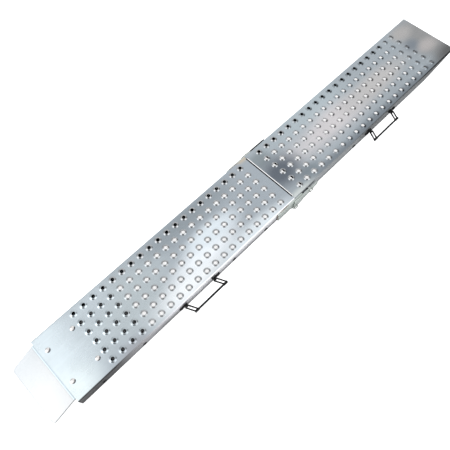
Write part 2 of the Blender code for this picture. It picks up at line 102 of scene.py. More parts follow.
class Graph:
    """A node material around one Principled shader."""

    def __init__(self, name, **sockets):
        self.material = bpy.data.materials.new(name)
        self.material.use_nodes = True
        self.nodes = self.material.node_tree.nodes
        self.links = self.material.node_tree.links
        self.shader = self.nodes["Principled BSDF"]
        for socket, value in sockets.items():
            self.put(self.shader, socket.replace("_", " "), value)

    def put(self, node, socket, value):
        if isinstance(value, bpy.types.NodeSocket):
            self.links.new(value, node.inputs[socket])
        else:
            node.inputs[socket].default_value = value

    def add(self, kind, inputs=(), **settings):
        node = self.nodes.new("ShaderNode" + kind)
        for setting, value in settings.items():
            setattr(node, setting, value)
        for socket, value in dict(inputs).items():
            self.put(node, socket, value)
        return node

    def coordinates(self, scale=(1, 1, 1)):
        place = self.add("TexCoord").outputs["Object"]
        return self.add("Mapping", {"Vector": place, "Scale": scale}).outputs["Vector"]

    def noise(self, scale, detail=3.0, stretch=(1, 1, 1), roughness=0.55):
        inputs = {"Vector": self.coordinates(stretch), "Scale": scale, "Detail": detail,
                  "Roughness": roughness}
        return self.add("TexNoise", inputs).outputs["Fac"]

    def cells(self, scale):
        """A random value for each grain of the zinc."""
        inputs = {"Vector": self.coordinates(), "Scale": scale, "Randomness": 1.0}
        colour = self.add("TexVoronoi", inputs).outputs["Color"]
        return self.add("SeparateColor", {"Color": colour}).outputs["Red"]

    def remap(self, value, low, high, start=0.0, end=1.0):
        inputs = {"Value": value, "From Min": start, "From Max": end, "To Min": low, "To Max": high}
        return self.add("MapRange", inputs).outputs["Result"]

    def math(self, operation, first, second):
        return self.add("Math", {0: first, 1: second}, operation=operation).outputs[0]

    def mix(self, blend, amount, first, second):
        node = self.add("Mix", data_type="RGBA", blend_type=blend)
        self.put(node, "Factor", amount)
        self.put(node, 6, first)
        self.put(node, 7, second)
        return node.outputs[2]

    def bump(self, height, strength, distance):
        inputs = {"Height": height, "Strength": strength, "Distance": distance}
        self.put(self.shader, "Normal", self.add("Bump", inputs).outputs["Normal"])


def zinc_sheet(name, colour, roughness, grain=95.0, painted=False, metallic=1.0):
    """Galvanised sheet: grains of zinc, rolling streaks and dull blotches."""
    graph = Graph(name, Metallic=metallic)
    grains = graph.cells(grain)
    streaks = graph.noise(30.0, 4.0, (0.5, 14.0, 14.0))
    blotches = graph.noise(9.0, 5.0)
    dust = graph.noise(520.0, 2.0)
    light = graph.remap(grains, 0.98, 1.0)
    for pattern, low, high in ((streaks, 0.97, 1.02), (blotches, 0.95, 1.03), (dust, 0.985, 1.01)):
        light = graph.math("MULTIPLY", light, graph.remap(pattern, low, high, 0.3, 0.7))
    base = (*colour, 1.0)
    # The tone attribute brings painted light, shade and reflections.
    if painted:
        tone = graph.add("Attribute", attribute_name="tone").outputs["Color"]
        base = graph.mix("MULTIPLY", 1.0, base, tone)
    grey = graph.add("CombineColor", {0: light, 1: light, 2: light}).outputs[0]
    base = graph.mix("MULTIPLY", 1.0, base, grey)
    graph.put(graph.shader, "Base Color", base)
    rough = graph.math("ADD", graph.remap(blotches, roughness - 0.02, roughness + 0.05, 0.3, 0.7),
                       graph.remap(grains, -0.008, 0.012))
    graph.put(graph.shader, "Roughness", rough)
    ripple = graph.math("ADD", graph.math("MULTIPLY", streaks, 0.15), graph.noise(40.0, 2.0))
    graph.bump(ripple, 0.03, 0.0012)
    return graph.material


def zinc_hardware():
    """Zinc plating with dull stains."""
    graph = Graph("zinc_hardware", Metallic=1.0)
    stain = graph.remap(graph.noise(160.0, 5.0), 0.0, 1.0, 0.50, 0.78)
    colour = graph.mix("MIX", stain, (0.62, 0.63, 0.61, 1), (0.44, 0.42, 0.38, 1))
    graph.put(graph.shader, "Base Color", colour)
    graph.put(graph.shader, "Roughness", graph.remap(graph.noise(420.0), 0.16, 0.28, 0.3, 0.7))
    graph.bump(graph.noise(900.0), 0.12, 0.0003)
    return graph.material


def weld_metal():
    """Weld beads with burnt patches."""
    graph = Graph("weld_metal", Metallic=0.85)
    burn = graph.noise(240.0, 4.0)
    burnt = graph.remap(burn, 0.0, 1.0, 0.36, 0.62)
    colour = graph.mix("MIX", burnt, (0.60, 0.58, 0.54, 1), (0.24, 0.20, 0.16, 1))
    graph.put(graph.shader, "Base Color", colour)
    graph.put(graph.shader, "Roughness", graph.remap(burn, 0.42, 0.66, 0.3, 0.7))
    graph.bump(graph.noise(1400.0), 0.3, 0.0004)
    return graph.material


def black_coating():
    """Dull black coating with rubbed steel where the wire is handled."""
    graph = Graph("black_coating", Specular_IOR_Level=0.25)
    peel = graph.noise(1500.0, 2.0)
    wear = graph.remap(graph.noise(330.0, 6.0, roughness=0.7), 0.0, 1.0, 0.73, 0.81)
    colour = graph.mix("MIX", wear, (0.008, 0.008, 0.008, 1), (0.16, 0.16, 0.16, 1))
    graph.put(graph.shader, "Base Color", colour)
    graph.put(graph.shader, "Roughness", graph.remap(peel, 0.52, 0.68, 0.3, 0.7))
    graph.put(graph.shader, "Metallic", graph.math("MULTIPLY", wear, 0.8))
    graph.bump(peel, 0.15, 0.0002)
    return graph.material


PLATE_COLOUR = (0.56, 0.60, 0.57)
# Zinc for the decks, coloured by their painted reflections, highlights and shade.
DECK_ZINC = zinc_sheet("deck_zinc", (1.0, 1.0, 1.0), 0.26, painted=True)
# Zinc that carries painted highlights and shade, for the tongue plate and the seam angles.
PAINTED_LIGHT_ZINC = zinc_sheet("painted_light_zinc", (0.93, 0.945, 0.955), 0.22, grain=70.0, painted=True)
# Zinc for the tongue bolts' heads, with painted shade on one side.
HEAD_ZINC = zinc_sheet("bolt_head_zinc", (0.92, 0.91, 0.90), 0.24, grain=600.0, painted=True)
PLATE_ZINC = zinc_sheet("plate_zinc", PLATE_COLOUR, 0.34, grain=140.0)
# Near-black zinc: painted shade for the tie tube and the taper lips, which sit in shadow.
SHADED_ZINC = zinc_sheet("shaded_zinc", (0.03, 0.035, 0.035), 0.45, grain=140.0)
# Plate zinc with painted shade on the back outer plate's rim and inner side.
SHADE_EDGED_ZINC = zinc_sheet("shade_edged_plate_zinc", PLATE_COLOUR, 0.34, grain=140.0, painted=True)
INNER_ZINC = zinc_sheet("inner_zinc", (0.56, 0.57, 0.58), 0.45, metallic=0.35)
HARDWARE = zinc_hardware()
WELD = weld_metal()
BLACK = black_coating()


# ---------------------------------------------------------------- mesh helpers

def evaluated_mesh(made):
    """The mesh of an object with its modifiers applied; the object goes."""
    bpy.context.view_layer.update()
    mesh = bpy.data.meshes.new_from_object(made.evaluated_get(bpy.context.evaluated_depsgraph_get()))
    bpy.data.objects.remove(made)
    return mesh


def raw_object(name, data):
    made = bpy.data.objects.new(name, data)
    bpy.context.scene.collection.objects.link(made)
    return made


def mesh_of(shape):
    mesh = bpy.data.meshes.new("shape")
    shape.to_mesh(mesh)
    shape.free()
    return mesh


def piece(name, mesh, body, finish, node=None, bevel=0.0, angle=38):
    """Places a mesh made in the hinge's frame, rounds its edges, and lets it ride on its body.

    node is the CAD node that it stands for, and edges sharper than angle are shaded sharp.
    """
    if bevel:
        raw = raw_object(name + "_raw", mesh)
        rounding = raw.modifiers.new("edges", "BEVEL")
        rounding.width, rounding.segments = bevel, 2
        rounding.limit_method, rounding.angle_limit = "ANGLE", math.radians(32)
        mesh = evaluated_mesh(raw)
    mesh.transform(Matrix.Translation(HINGE))
    mesh.shade_smooth()
    mesh.set_sharp_from_angle(angle=math.radians(angle))
    mesh.name = name
    made = raw_object(name, mesh)
    mesh.materials.clear()
    mesh.materials.append(finish)
    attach(made, body)
    if node:
        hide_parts(node)
    return made


def arc(centre, radius, start, end, steps):
    """Points from one angle to another, in degrees."""
    angles = [math.radians(start + (end - start) * step / steps) for step in range(steps + 1)]
    return [(centre[0] + radius * math.cos(a), centre[1] + radius * math.sin(a)) for a in angles]


def circle(centre, radius, sides):
    return arc(centre, radius, 0, 360 - 360 / sides, sides - 1)


def rounded(corners, radius):
    """A closed outline with each corner rounded; corners go round the outline once."""
    steps = 5
    outline = []
    for index, corner in enumerate(corners):
        here = Vector(corner)
        before, after = Vector(corners[index - 1]), Vector(corners[(index + 1) % len(corners)])
        start, end = (before - here).normalized(), (after - here).normalized()
        reach = radius / math.tan(start.angle(end) / 2)
        first, last = here + start * reach, here + end * reach
        for step in range(steps + 1):
            t = step / steps
            outline.append(tuple(first * (1 - t) ** 2 + here * (2 * t * (1 - t)) + last * t ** 2))
    return outline


# Turns that take a form's own upward direction towards the near side, to the ramp's far end, or down.
UPRIGHT = Matrix.Rotation(math.pi / 2, 4, "X")
LENGTHWISE = Matrix.Rotation(math.pi / 2, 4, "Y")
UPSIDE_DOWN = Matrix.Rotation(math.pi, 4, "X")


def slab(loops, thickness, place, turn=UPRIGHT):
    """A flat outline with holes, of a given thickness about its middle; by default in the XZ plane."""
    curve = bpy.data.curves.new("slab", "CURVE")
    curve.dimensions, curve.fill_mode, curve.extrude = "2D", "BOTH", thickness / 2
    for loop in loops:
        spline = curve.splines.new("POLY")
        spline.points.add(len(loop) - 1)
        for point, (across, up) in zip(spline.points, loop):
            point.co = (across, up, 0, 1)
        spline.use_cyclic_u = True
    mesh = evaluated_mesh(raw_object("slab", curve))
    mesh.transform(Matrix.Translation(place) @ turn)
    shape = bmesh.new()
    shape.from_mesh(mesh)
    bmesh.ops.remove_doubles(shape, verts=shape.verts, dist=1e-6)
    return mesh_of(shape)


def wire(paths, radius, closed=False):
    """Round wire along one or more paths of points."""
    curve = bpy.data.curves.new("wire", "CURVE")
    curve.dimensions, curve.bevel_depth, curve.bevel_resolution = "3D", radius, 5
    curve.use_fill_caps = True
    for path in paths:
        spline = curve.splines.new("POLY")
        spline.points.add(len(path) - 1)
        for point, place in zip(spline.points, path):
            point.co = (*place, 1)
        spline.use_cyclic_u = closed
    return evaluated_mesh(raw_object("wire", curve))


def joined(meshes):
    shape = bmesh.new()
    for mesh in meshes:
        shape.from_mesh(mesh)
    return mesh_of(shape)


def skinned(shape, rings, closed=False):
    """The mesh of a skin over rings of points; a ring of one point is a tip."""
    for first, second in zip(rings, rings[1:] + rings[:1] if closed else rings[1:]):
        for i in range(max(len(first), len(second))):
            corners = [first[i % len(first)], first[(i + 1) % len(first)],
                       second[(i + 1) % len(second)], second[i % len(second)]]
            shape.faces.new(list(dict.fromkeys(corners)))
    bmesh.ops.recalc_face_normals(shape, faces=shape.faces)
    return mesh_of(shape)


def lathe(profile, place, turn=Matrix(), steps=32):
    """A turned form: the profile is (radius, height) points from the axis back to the axis."""
    shape = bmesh.new()
    rings = []
    for radius, height in profile:
        angles = [math.tau * i / steps for i in range(1 if radius == 0 else steps)]
        rings.append([shape.verts.new((radius * math.cos(a), radius * math.sin(a), height)) for a in angles])
    mesh = skinned(shape, rings)
    mesh.transform(Matrix.Translation(place) @ turn)
    return mesh


def shank(length, thread):
    """Profile of a bolt's shank that hangs down from height 0, threaded over its last stretch."""
    pitch, depth, point = 0.00125, 0.0005, 0.0006
    profile = [(BOLT_RADIUS, -length + thread)]
    for turn in range(int(thread / pitch)):
        low = -length + thread - turn * pitch
        profile += [(BOLT_RADIUS - depth, low - pitch / 2), (BOLT_RADIUS, low - pitch)]
    end = profile[-1][1] - point
    return profile + [(BOLT_RADIUS - depth, end), (0, end)]


def hexagon_head(height, place, turn):
    """A hexagon head or nut with its outer corners turned off."""
    shape = bmesh.new()
    steps = 48
    flat = NUT_RADIUS * math.cos(math.pi / 6)
    rings = []
    for scale, level in ((0.0, 0.0), (0.94, 0.0), (1.0, 0.0006), (1.0, height - 0.0009),
                         (0.90, height - 0.0001), (0.62, height), (0.0, height)):
        ring = []
        for i in range(1 if scale == 0 else steps):
            angle = math.tau * i / steps
            side = flat / math.cos((angle + math.pi / 6) % (math.pi / 3) - math.pi / 6)
            reach = side if scale == 1.0 else min(side, NUT_RADIUS * scale)
            ring.append(shape.verts.new((reach * math.cos(angle), reach * math.sin(angle), level)))
        rings.append(ring)
    mesh = skinned(shape, rings)
    mesh.transform(Matrix.Translation(place) @ turn)
    return mesh


def weld_bead(name, start, end, body, radius):
    """A rippled weld bead laid from start to end, thinner at both ends."""
    start, end = Vector(start), Vector(end)
    run = end - start
    along = run.normalized()
    across = along.orthogonal().normalized()
    up = along.cross(across)
    step_length, sides = 0.0007, 10
    steps = max(8, int(run.length / step_length))
    angles = [math.tau * i / sides for i in range(sides)]
    shape = bmesh.new()
    rings = []
    for step in range(steps + 1):
        t = step / steps
        swell = 1 + 0.16 * math.sin(step * 2.1) + 0.25 * (noise.noise(start * 90 + Vector((t * 9, 0, 0))))
        reach = radius * swell * min(1.0, 0.35 + 6 * min(t, 1 - t))
        rings.append([shape.verts.new(start + run * t + reach * (across * math.cos(a) + up * math.sin(a)))
                      for a in angles])
    shape.faces.new(rings[0])
    shape.faces.new(rings[-1])
    piece(name, skinned(shape, rings), body, WELD, angle=60)


def weld_ring(name, centre, radius, body):
    """A rippled weld bead round a tube that runs across the ramp."""
    bead, steps, sides = 0.0011, 40, 8
    angles = [math.tau * i / sides for i in range(sides)]
    shape = bmesh.new()
    rings = []
    for step in range(steps):
        turn = math.tau * step / steps
        out = Vector((math.cos(turn), 0, math.sin(turn)))
        swell = bead * (1 + 0.15 * math.sin(step * 2.3) + 0.2 * noise.noise(Vector(centre) * 70 + out))
        rings.append([shape.verts.new(Vector(centre) + out * (radius + swell * math.cos(a))
                                      + Vector((0, swell * math.sin(a), 0))) for a in angles])
    piece(name, skinned(shape, rings, closed=True), body, WELD, angle=60)


# ---------------------------------------------------------------- the punched decks

class Surface:
    """Faces that share their corners, for the outer face of one sheet."""

    def __init__(self, side):
        self.shape, self.found, self.side = bmesh.new(), {}, side

    def point(self, along, y, z):
        key = (round(along, 5), round(y, 5), round(z, 5))
        if key not in self.found:
            self.found[key] = self.shape.verts.new((self.side * along, y, z))
        return self.found[key]

    def face(self, corners):
        self.shape.faces.new([self.point(*corner) for corner in corners])


def channel_half_section():
    """The near side's outer face from the lip's free edge up to the first dimple cell."""
    low = arc((-FLANGE + BEND, LIFT + BEND), BEND, 270, 180, 5)
    high = arc((-FLANGE + BEND, DECK_TOP - BEND), BEND, 180, 90, 6)
    return [(-FLANGE + LIP, LIFT), *low, (-FLANGE, NOTCH), (-FLANGE, 0.022), (-FLANGE, 0.032), *high,
            (-CELLS_EDGE, DECK_TOP)]


def add_cell(surface, along, y):
    """One dimple with its hole, in its square of deck."""
    half = PITCH / 2
    steps = [(-half + CELL * step) for step in range(CELL_STEPS)]
    border = ([(s, -half) for s in steps] + [(half, s) for s in steps]
              + [(-s, half) for s in steps] + [(-half, -s) for s in steps])
    count = len(border)
    rings = [[(along + u, y + v, DECK_TOP) for u, v in border]]
    for radius, height in DIMPLE_RINGS:
        rings.append([(along + radius * math.cos(a), y + radius * math.sin(a), DECK_TOP + height)
                      for a in (math.radians(-135 + 360 * i / count) for i in range(count))])
    for outer, inner in zip(rings, rings[1:]):
        for i in range(count):
            surface.face((outer[i], outer[(i + 1) % count], inner[(i + 1) % count], inner[i]))


def deck_surface(side, length, first_row, rows):
    """The outer face of one half's channel, with its dimples; side is -1 for the tongue half."""
    surface = Surface(side)
    cells_start = first_row - PITCH / 2
    cells_end = cells_start + PITCH * rows
    slot = TONGUE_SLOT if side < 0 else GROUND_SLOT
    start_stations = [SEAM, slot, NOTCH] + list(np.linspace(NOTCH, cells_start, 4)[1:])
    end_stations = list(np.linspace(cells_end, length, int((length - cells_end) / CELL) + 1))
    stations = start_stations + [cells_start + CELL * i for i in range(1, CELL_STEPS * rows)] + end_stations

    near = channel_half_section()
    for section in (near, [(-y, z) for y, z in reversed(near)]):
        for (y0, z0), (y1, z1) in zip(section, section[1:]):
            for a, b in zip(stations, stations[1:]):
                if not (b <= NOTCH and max(z0, z1) <= NOTCH):
                    surface.face(((a, y0, z0), (b, y0, z0), (b, y1, z1), (a, y1, z1)))
    across = [-CELLS_EDGE + CELL * i for i in range(COLUMNS * CELL_STEPS + 1)]
    for plain in (start_stations, end_stations):
        for a, b in zip(plain, plain[1:]):
            for y0, y1 in zip(across, across[1:]):
                if b > slot or max(abs(y0), abs(y1)) > SLOT_HALF_WIDTH + CELL / 2:
                    surface.face([(x, y, DECK_TOP) for x, y in ((a, y0), (b, y0), (b, y1), (a, y1))])
    for row in range(rows):
        for y in COLUMN_YS:
            add_cell(surface, first_row + PITCH * row, y)
    return surface.shape


def cut_round_holes(mesh, places):
    """Round holes across both flanges at (x, z) places."""
    sheet = raw_object("sheet_raw", mesh)
    reach, radius = 0.13, FLANGE_HOLE_RADIUS
    profile = [(0, -reach), (radius, -reach), (radius, reach), (0, reach)]
    drill = raw_object("drills", joined([lathe(profile, (x, 0, z), UPRIGHT, 20) for x, z in places]))
    cut = sheet.modifiers.new("holes", "BOOLEAN")
    cut.operation, cut.solver, cut.object = "DIFFERENCE", "EXACT", drill
    mesh = evaluated_mesh(sheet)
    bpy.data.objects.remove(drill)
    return mesh


def thick_sheet(shape, thickness):
    """Turns a surface into a sheet whose outer face is that surface."""
    bmesh.ops.recalc_face_normals(shape, faces=shape.faces)
    upper = [face for face in shape.faces if face.calc_center_median().z > 0.03]
    if sum(face.normal.z * face.calc_area() for face in upper) < 0:
        bmesh.ops.reverse_faces(shape, faces=shape.faces)
    sheet = raw_object("sheet", mesh_of(shape))
    shell = sheet.modifiers.new("shell", "SOLIDIFY")
    shell.thickness, shell.offset, shell.use_even_offset = thickness, -1.0, True
    return evaluated_mesh(sheet)


def fade(values, start, reach):
    """0 up to the start, then rising to 1 over the reach."""
    return np.clip((values - start) / reach, 0, 1)


def blend(first, second, share):
    """Goes from the first colours to the second as the share goes from 0 to 1."""
    return np.array(first) * (1 - share) + np.array(second) * share


def soft_patch(points, centre, reach):
    """How much of a soft patch covers each point, from 0 to 1, with a cloudy edge."""
    distance = np.hypot((points[:, 0] - centre[0]) / reach[0], (points[:, 1] - centre[1]) / reach[1])
    wobble = np.array([noise.noise(Vector((x * 6, y * 14, 0.3))) for x, y in points[:, :2]])
    cover = np.clip(1.25 - distance + 0.18 * wobble, 0, 1)
    return cover * cover * (3 - 2 * cover)


def paint(made, tone):
    """Stores the zinc's painted light, shade and reflections as its tone at each point; tone turns points and
    normals into colours.
    """
    mesh = made.data
    points = np.empty(len(mesh.vertices) * 3, np.float32)
    normals = np.empty(len(mesh.vertices) * 3, np.float32)
    mesh.vertices.foreach_get("co", points)
    mesh.vertices.foreach_get("normal", normals)
    colours = np.ones((len(mesh.vertices), 4), np.float32)
    colours[:, :3] = tone(points.reshape(-1, 3) - np.array(HINGE, np.float32), normals.reshape(-1, 3))
    layer = mesh.color_attributes.new("tone", "FLOAT_COLOR", "POINT")
    layer.data.foreach_set("color", colours.ravel())


def dimple_cover(points, first_row, rows, side):
    """1 on a dimple's slope, 0 on the flat deck."""
    along = points[:, 0] * side
    row = np.clip(np.round((along - first_row) / PITCH), 0, rows - 1)
    column = np.clip(np.round(points[:, 1] / PITCH + MIDDLE_COLUMN), 0, COLUMNS - 1)
    distance = np.hypot(along - first_row - row * PITCH, points[:, 1] - (column - MIDDLE_COLUMN) * PITCH)
    return fade(-distance, -DIMPLE_REACH, 0.0015) * (points[:, 2] > DECK_UNDER - BEND)


# Painted reflections, light and dark, on the decks: centre, reach along X and Y, and the reflectance they
# bring.
TONGUE_REFLECTION_PATCHES = [
    ((-0.60, 0.000), (0.20, 0.150), (0.52, 0.575, 0.60)),
    ((-0.67, 0.085), (0.08, 0.070), (0.58, 0.64, 0.68)),
    ((-0.86, 0.030), (0.17, 0.170), (0.74, 0.82, 0.86)),
    ((-0.88, -0.090), (0.12, 0.090), (0.84, 0.92, 0.93)),
    ((-0.66, -0.110), (0.06, 0.030), (0.40, 0.42, 0.45)),
    ((-0.29, 0.080), (0.20, 0.045), (0.32, 0.36, 0.39)),
    ((-0.42, -0.085), (0.18, 0.055), (0.97, 1.00, 1.02)),
    ((-0.34, -0.045), (0.15, 0.045), (0.94, 0.98, 1.02)),
    ((-0.27, -0.010), (0.13, 0.040), (0.80, 0.87, 0.92)),
    ((-0.17, -0.110), (0.20, 0.042), (0.82, 0.88, 0.92)),
    ((-0.012, 0.114), (0.030, 0.016), (0.60, 0.53, 0.43)),
]
GROUND_REFLECTION_PATCHES = [
    ((0.42, -0.110), (0.60, 0.030), (0.23, 0.26, 0.29)),
    ((0.29, 0.080), (0.22, 0.075), (0.49, 0.555, 0.59)),
    ((0.29, -0.008), (0.25, 0.062), (0.70, 0.67, 0.68)),
    ((0.55, -0.004), (0.20, 0.050), (0.60, 0.585, 0.58)),
    ((0.02, 0.065), (0.05, 0.035), (0.29, 0.33, 0.35)),
    ((0.11, -0.078), (0.06, 0.030), (0.26, 0.30, 0.33)),
    ((0.040, -0.020), (0.100, 0.075), (0.15, 0.17, 0.20)),
    ((0.02, -0.112), (0.09, 0.022), (0.68, 0.72, 0.70)),
    ((0.87, -0.005), (0.12, 0.160), (0.36, 0.36, 0.36)),
    ((0.79, 0.006), (0.040, 0.034), (0.27, 0.30, 0.335)),
    ((0.83, -0.030), (0.055, 0.032), (0.55, 0.52, 0.51)),
    ((0.81, 0.075), (0.060, 0.036), (0.50, 0.485, 0.475)),
    ((0.87, -0.108), (0.11, 0.042), (0.17, 0.17, 0.17)),
]
# The painted reflection tone of the dimples' slopes.
SLOPE_TONE = (0.47, 0.48, 0.49)
# Where the tongue half's slopes take an even painted shade: centre and reach.
SHADED_SLOPE_PATCH = ((-0.42, -0.060), (0.30, 0.110))
# Painted shade and reflection on the near flange: its tone along X, at its bend, its middle and its lip.
FLANGE_XS = {-1: (-0.86, -0.78, -0.73, -0.67, -0.61, -0.55, -0.43, -0.07),
             1: (0.0, 0.10, 0.17, 0.30, 0.36, 0.53, 0.66, 0.71, 0.77)}
FLANGE_TONES = {-1: ((0.09, 0.05, 0.07, 0.34, 0.55, 0.76, 1.22, 1.25),
                     (0.020, 0.010, 0.070, 0.39, 0.50, 0.38, 0.70, 0.70),
                     (0.020, 0.010, 0.060, 0.26, 0.32, 0.12, 0.16, 0.12)),
                1: ((0.55, 0.42, 0.36, 0.29, 0.18, 0.19, 0.155, 0.045, 0.005),
                    (0.55, 0.50, 0.44, 0.38, 0.22, 0.19, 0.18, 0.12, 0.02),
                    (0.52, 0.32, 0.20, 0.18, 0.16, 0.20, 0.22, 0.16, 0.04))}
# The tint of the near flange's painted shade and reflection on each half, and the depth over which it goes
# from bend to lip.
FLANGE_TINTS = {-1: (1.0, 0.99, 1.03), 1: (0.95, 1.0, 1.03)}
FLANGE_TONE_DEPTH = 0.036
# Painted shade: how dark the channels' inner faces are beside their outer faces.
INSIDE_SHADE = 0.3


def slope_tone(points, normals, flat_colours, side):
    """The dimples' slopes: painted highlights and painted dark crescents of shade that change along the ramp.
    """
    level = np.hypot(normals[:, 0], normals[:, 1]) + 1e-6
    across, along = -normals[:, 0] / level, -normals[:, 1] / level
    end_face, near_face = fade(across, 0.74, 0.2), fade(along, 0.74, 0.2)
    down_face = fade((across + along) * math.sqrt(0.5), 0.88, 0.09)
    far, last = fade(points[:, 0], 0.16, 0.14), fade(points[:, 0], 0.685, 0.01)
    # dull marks where the tongue half's slopes take an even painted shade.
    dull = soft_patch(points, *SHADED_SLOPE_PATCH) * (side < 0)
    factor = 1 - 0.40 * dull * np.maximum(end_face, near_face)
    factor = factor - 0.72 * down_face * (1 - far) * (1 - 0.5 * dull)
    factor *= (1 - far * end_face * (0.55 - 0.40 * last)) * (1 - far * near_face * (0.82 - 0.47 * last))
    own = np.maximum(far, fade(-points[:, 0], 0.58, 0.05))[:, None]
    return blend(SLOPE_TONE, flat_colours, own) * factor[:, None]


def deck_tone(patches, flat_tone, first_row, rows, side):
    """The tone of one half's channel, as a function for paint: painted reflections, highlights and shade."""
    def tone(points, normals):
        colours = np.tile(np.array(flat_tone), (len(points), 1))
        # Painted reflections at fixed places on the deck.
        for centre, reach, brought in patches:
            colours = blend(colours, brought, soft_patch(points, centre, reach)[:, None])
        slope = dimple_cover(points, first_row, rows, side)[:, None]
        colours = blend(colours, slope_tone(points, normals, colours, side), slope)
        # Painted shade and reflection on the near flange, from its bend down to its lip.
        depth = np.clip((DECK_TOP - BEND - points[:, 2]) / FLANGE_TONE_DEPTH, 0, 1)
        bend, middle, lip = (np.interp(points[:, 0], FLANGE_XS[side], tones) for tones in FLANGE_TONES[side])
        shade = np.where(depth < 0.5, bend + (middle - bend) * 2 * depth,
                         middle + (lip - middle) * (2 * depth - 1))
        shade = shade[:, None] * np.array(FLANGE_TINTS[side])
        # A painted dark line of shade along the flange's bend.
        on_bend = 1 - 0.5 * np.clip(1 - abs(normals[:, 1:2] + 0.5) * 2.5, 0, 1)
        near = (np.clip((-normals[:, 1] - 0.15) * 3, 0, 1) * (points[:, 1] < -FLANGE + BEND))[:, None]
        colours = blend(colours, shade * on_bend, near)
        # Painted shade on the channels' inner faces.
        inside = (points[:, 2] < DECK_UNDER - BEND) & (abs(points[:, 1]) < FLANGE - SHEET + 0.0002)
        return np.where(inside[:, None], colours * INSIDE_SHADE, colours)
    return tone


def make_deck(name, node, body, side, length, first_row, rows, hole_xs, patches, flat_tone):
    """One half's channel; the ground half's flanges taper to its end."""
    shape = deck_surface(side, length, first_row, rows)
    if side > 0:
        rise, run = DECK_TOP - TAPER_END_DEPTH - LIFT, length - TAPER_START
        bmesh.ops.bisect_plane(shape, geom=[*shape.verts, *shape.edges, *shape.faces], dist=1e-7,
                               plane_co=(TAPER_START, 0, LIFT), plane_no=(rise, 0, -run), clear_outer=True)
    mesh = cut_round_holes(thick_sheet(shape, SHEET), [(x, CROSS_Z) for x in hole_xs])
    made = piece(name, mesh, body, DECK_ZINC, node, angle=34)
    paint(made, deck_tone(patches, flat_tone, first_row, rows, side))


make_deck("tongue_deck_sheet", "tongue_half_deck", "tongue_half", -1, TONGUE_LENGTH, TONGUE_FIRST_ROW,
          TONGUE_ROWS, TONGUE_HOLE_XS, TONGUE_REFLECTION_PATCHES, (0.42, 0.465, 0.505))
make_deck("ground_deck_sheet", "ground_half_deck", "ground_half", 1, GROUND_LENGTH, GROUND_FIRST_ROW,
          GROUND_ROWS, [GROUND_HOLE_X], GROUND_REFLECTION_PATCHES, (0.43, 0.475, 0.51))


def make_cap(name, x, body):
    """A black cap over a hole of the near flange."""
    radius, rise = 0.0070, 0.0030
    profile = [(0, 0.0001), (radius, 0.0001), (radius, 0.0006), (0.0060, 0.0012), (0.0034, 0.0017),
               (0, 0.0018)]
    piece(name, lathe(profile, (x, -FLANGE, CROSS_Z + rise), UPRIGHT, 24), body, BLACK, angle=40)


for cap_index, cap_x in enumerate(TONGUE_HOLE_XS, 1):
    make_cap(f"tongue_flange_cap_{cap_index}", cap_x, "tongue_half")
make_cap("ground_flange_cap", GROUND_HOLE_X, "ground_half")


# ---------------------------------------------------------------- the tongue

def tongue_tone(points, normals):
    """Painted light and shade: bright where the plate slopes towards the soft box, bluer at its back and by
    the deck's end.
    """
    back, by_deck = fade(points[:, 1:2], -0.02, 0.10), fade(points[:, 0:1], -0.8700, 0.003)
    colours = blend((0.376, 0.376, 0.375), (0.318, 0.326, 0.333), back)
    colours = blend(colours, (0.62, 0.70, 0.74), by_deck)
    # Painted shade on the near edge and on faces that don't face up.
    edge = (points[:, 1:2] < -0.0989) | (normals[:, 2:3] < 0.3)
    return np.where(edge, (0.10, 0.105, 0.11), colours)


def make_tongue():
    """The plate under the deck's end, bent down past it, with its two outer corners cut off."""
    top, slope, bend = DECK_UNDER - FIT, math.radians(24), 0.012
    inner_x, bend_x, lip, chamfer, half = -0.741, -0.866, 0.089, 0.007, 0.100
    line = [(inner_x + (bend_x - inner_x) * i / 8, top) for i in range(8)]
    for step in range(9):
        angle = slope * step / 8
        line.append((bend_x - bend * math.sin(angle), top - bend * (1 - math.cos(angle))))
    bend_end = line[-1]
    for along in (0.002, 0.02, 0.04, 0.06, lip - chamfer, lip - chamfer * 0.6, lip - chamfer * 0.3, lip):
        line.append((bend_end[0] - along * math.cos(slope), bend_end[1] - along * math.sin(slope)))
    shape = bmesh.new()
    rows = []
    shares = [-1, -0.985, *np.linspace(-0.9, 0.9, 19), 0.985, 1]
    for x, z in line:
        tip = math.hypot(x - line[-1][0], z - line[-1][1])
        width = half - max(0.0, chamfer - tip)
        rows.append([shape.verts.new((x, width * share, z)) for share in shares])
    for first, second in zip(rows, rows[1:]):
        for i in range(len(first) - 1):
            shape.faces.new((first[i], first[i + 1], second[i + 1], second[i]))
    mesh = thick_sheet(shape, TONGUE_PLATE)
    paint(piece("tongue_sheet", mesh, "tongue_half", PAINTED_LIGHT_ZINC, "tongue_plate", bevel=0.0005), tongue_tone)


make_tongue()

ROUND_HEAD_RADIUS, ROUND_HEAD_HEIGHT = 0.0078, 0.0040
TONGUE_BOLTS = [(x, y) for x in (-0.841, -0.755) for y in (-0.0585, 0.0585)]


def head_tone(points, normals):
    """Painted shade round the side that faces away from the soft box."""
    turned = np.clip((0.50 * normals[:, 0:1] - 0.86 * normals[:, 1:2] - 0.24) * 4, 0, 1)
    return blend((0.92, 0.90, 0.89), (0.07, 0.07, 0.08), turned)


def dome(radius, height, steps, base=0.0):
    """Profile of a round head, from its top down to its rim."""
    points = [(radius * math.cos(a), base + height * math.sin(a)) for a in np.linspace(math.pi / 2, 0, steps)]
    return [(0, points[0][1]), *points[1:]]


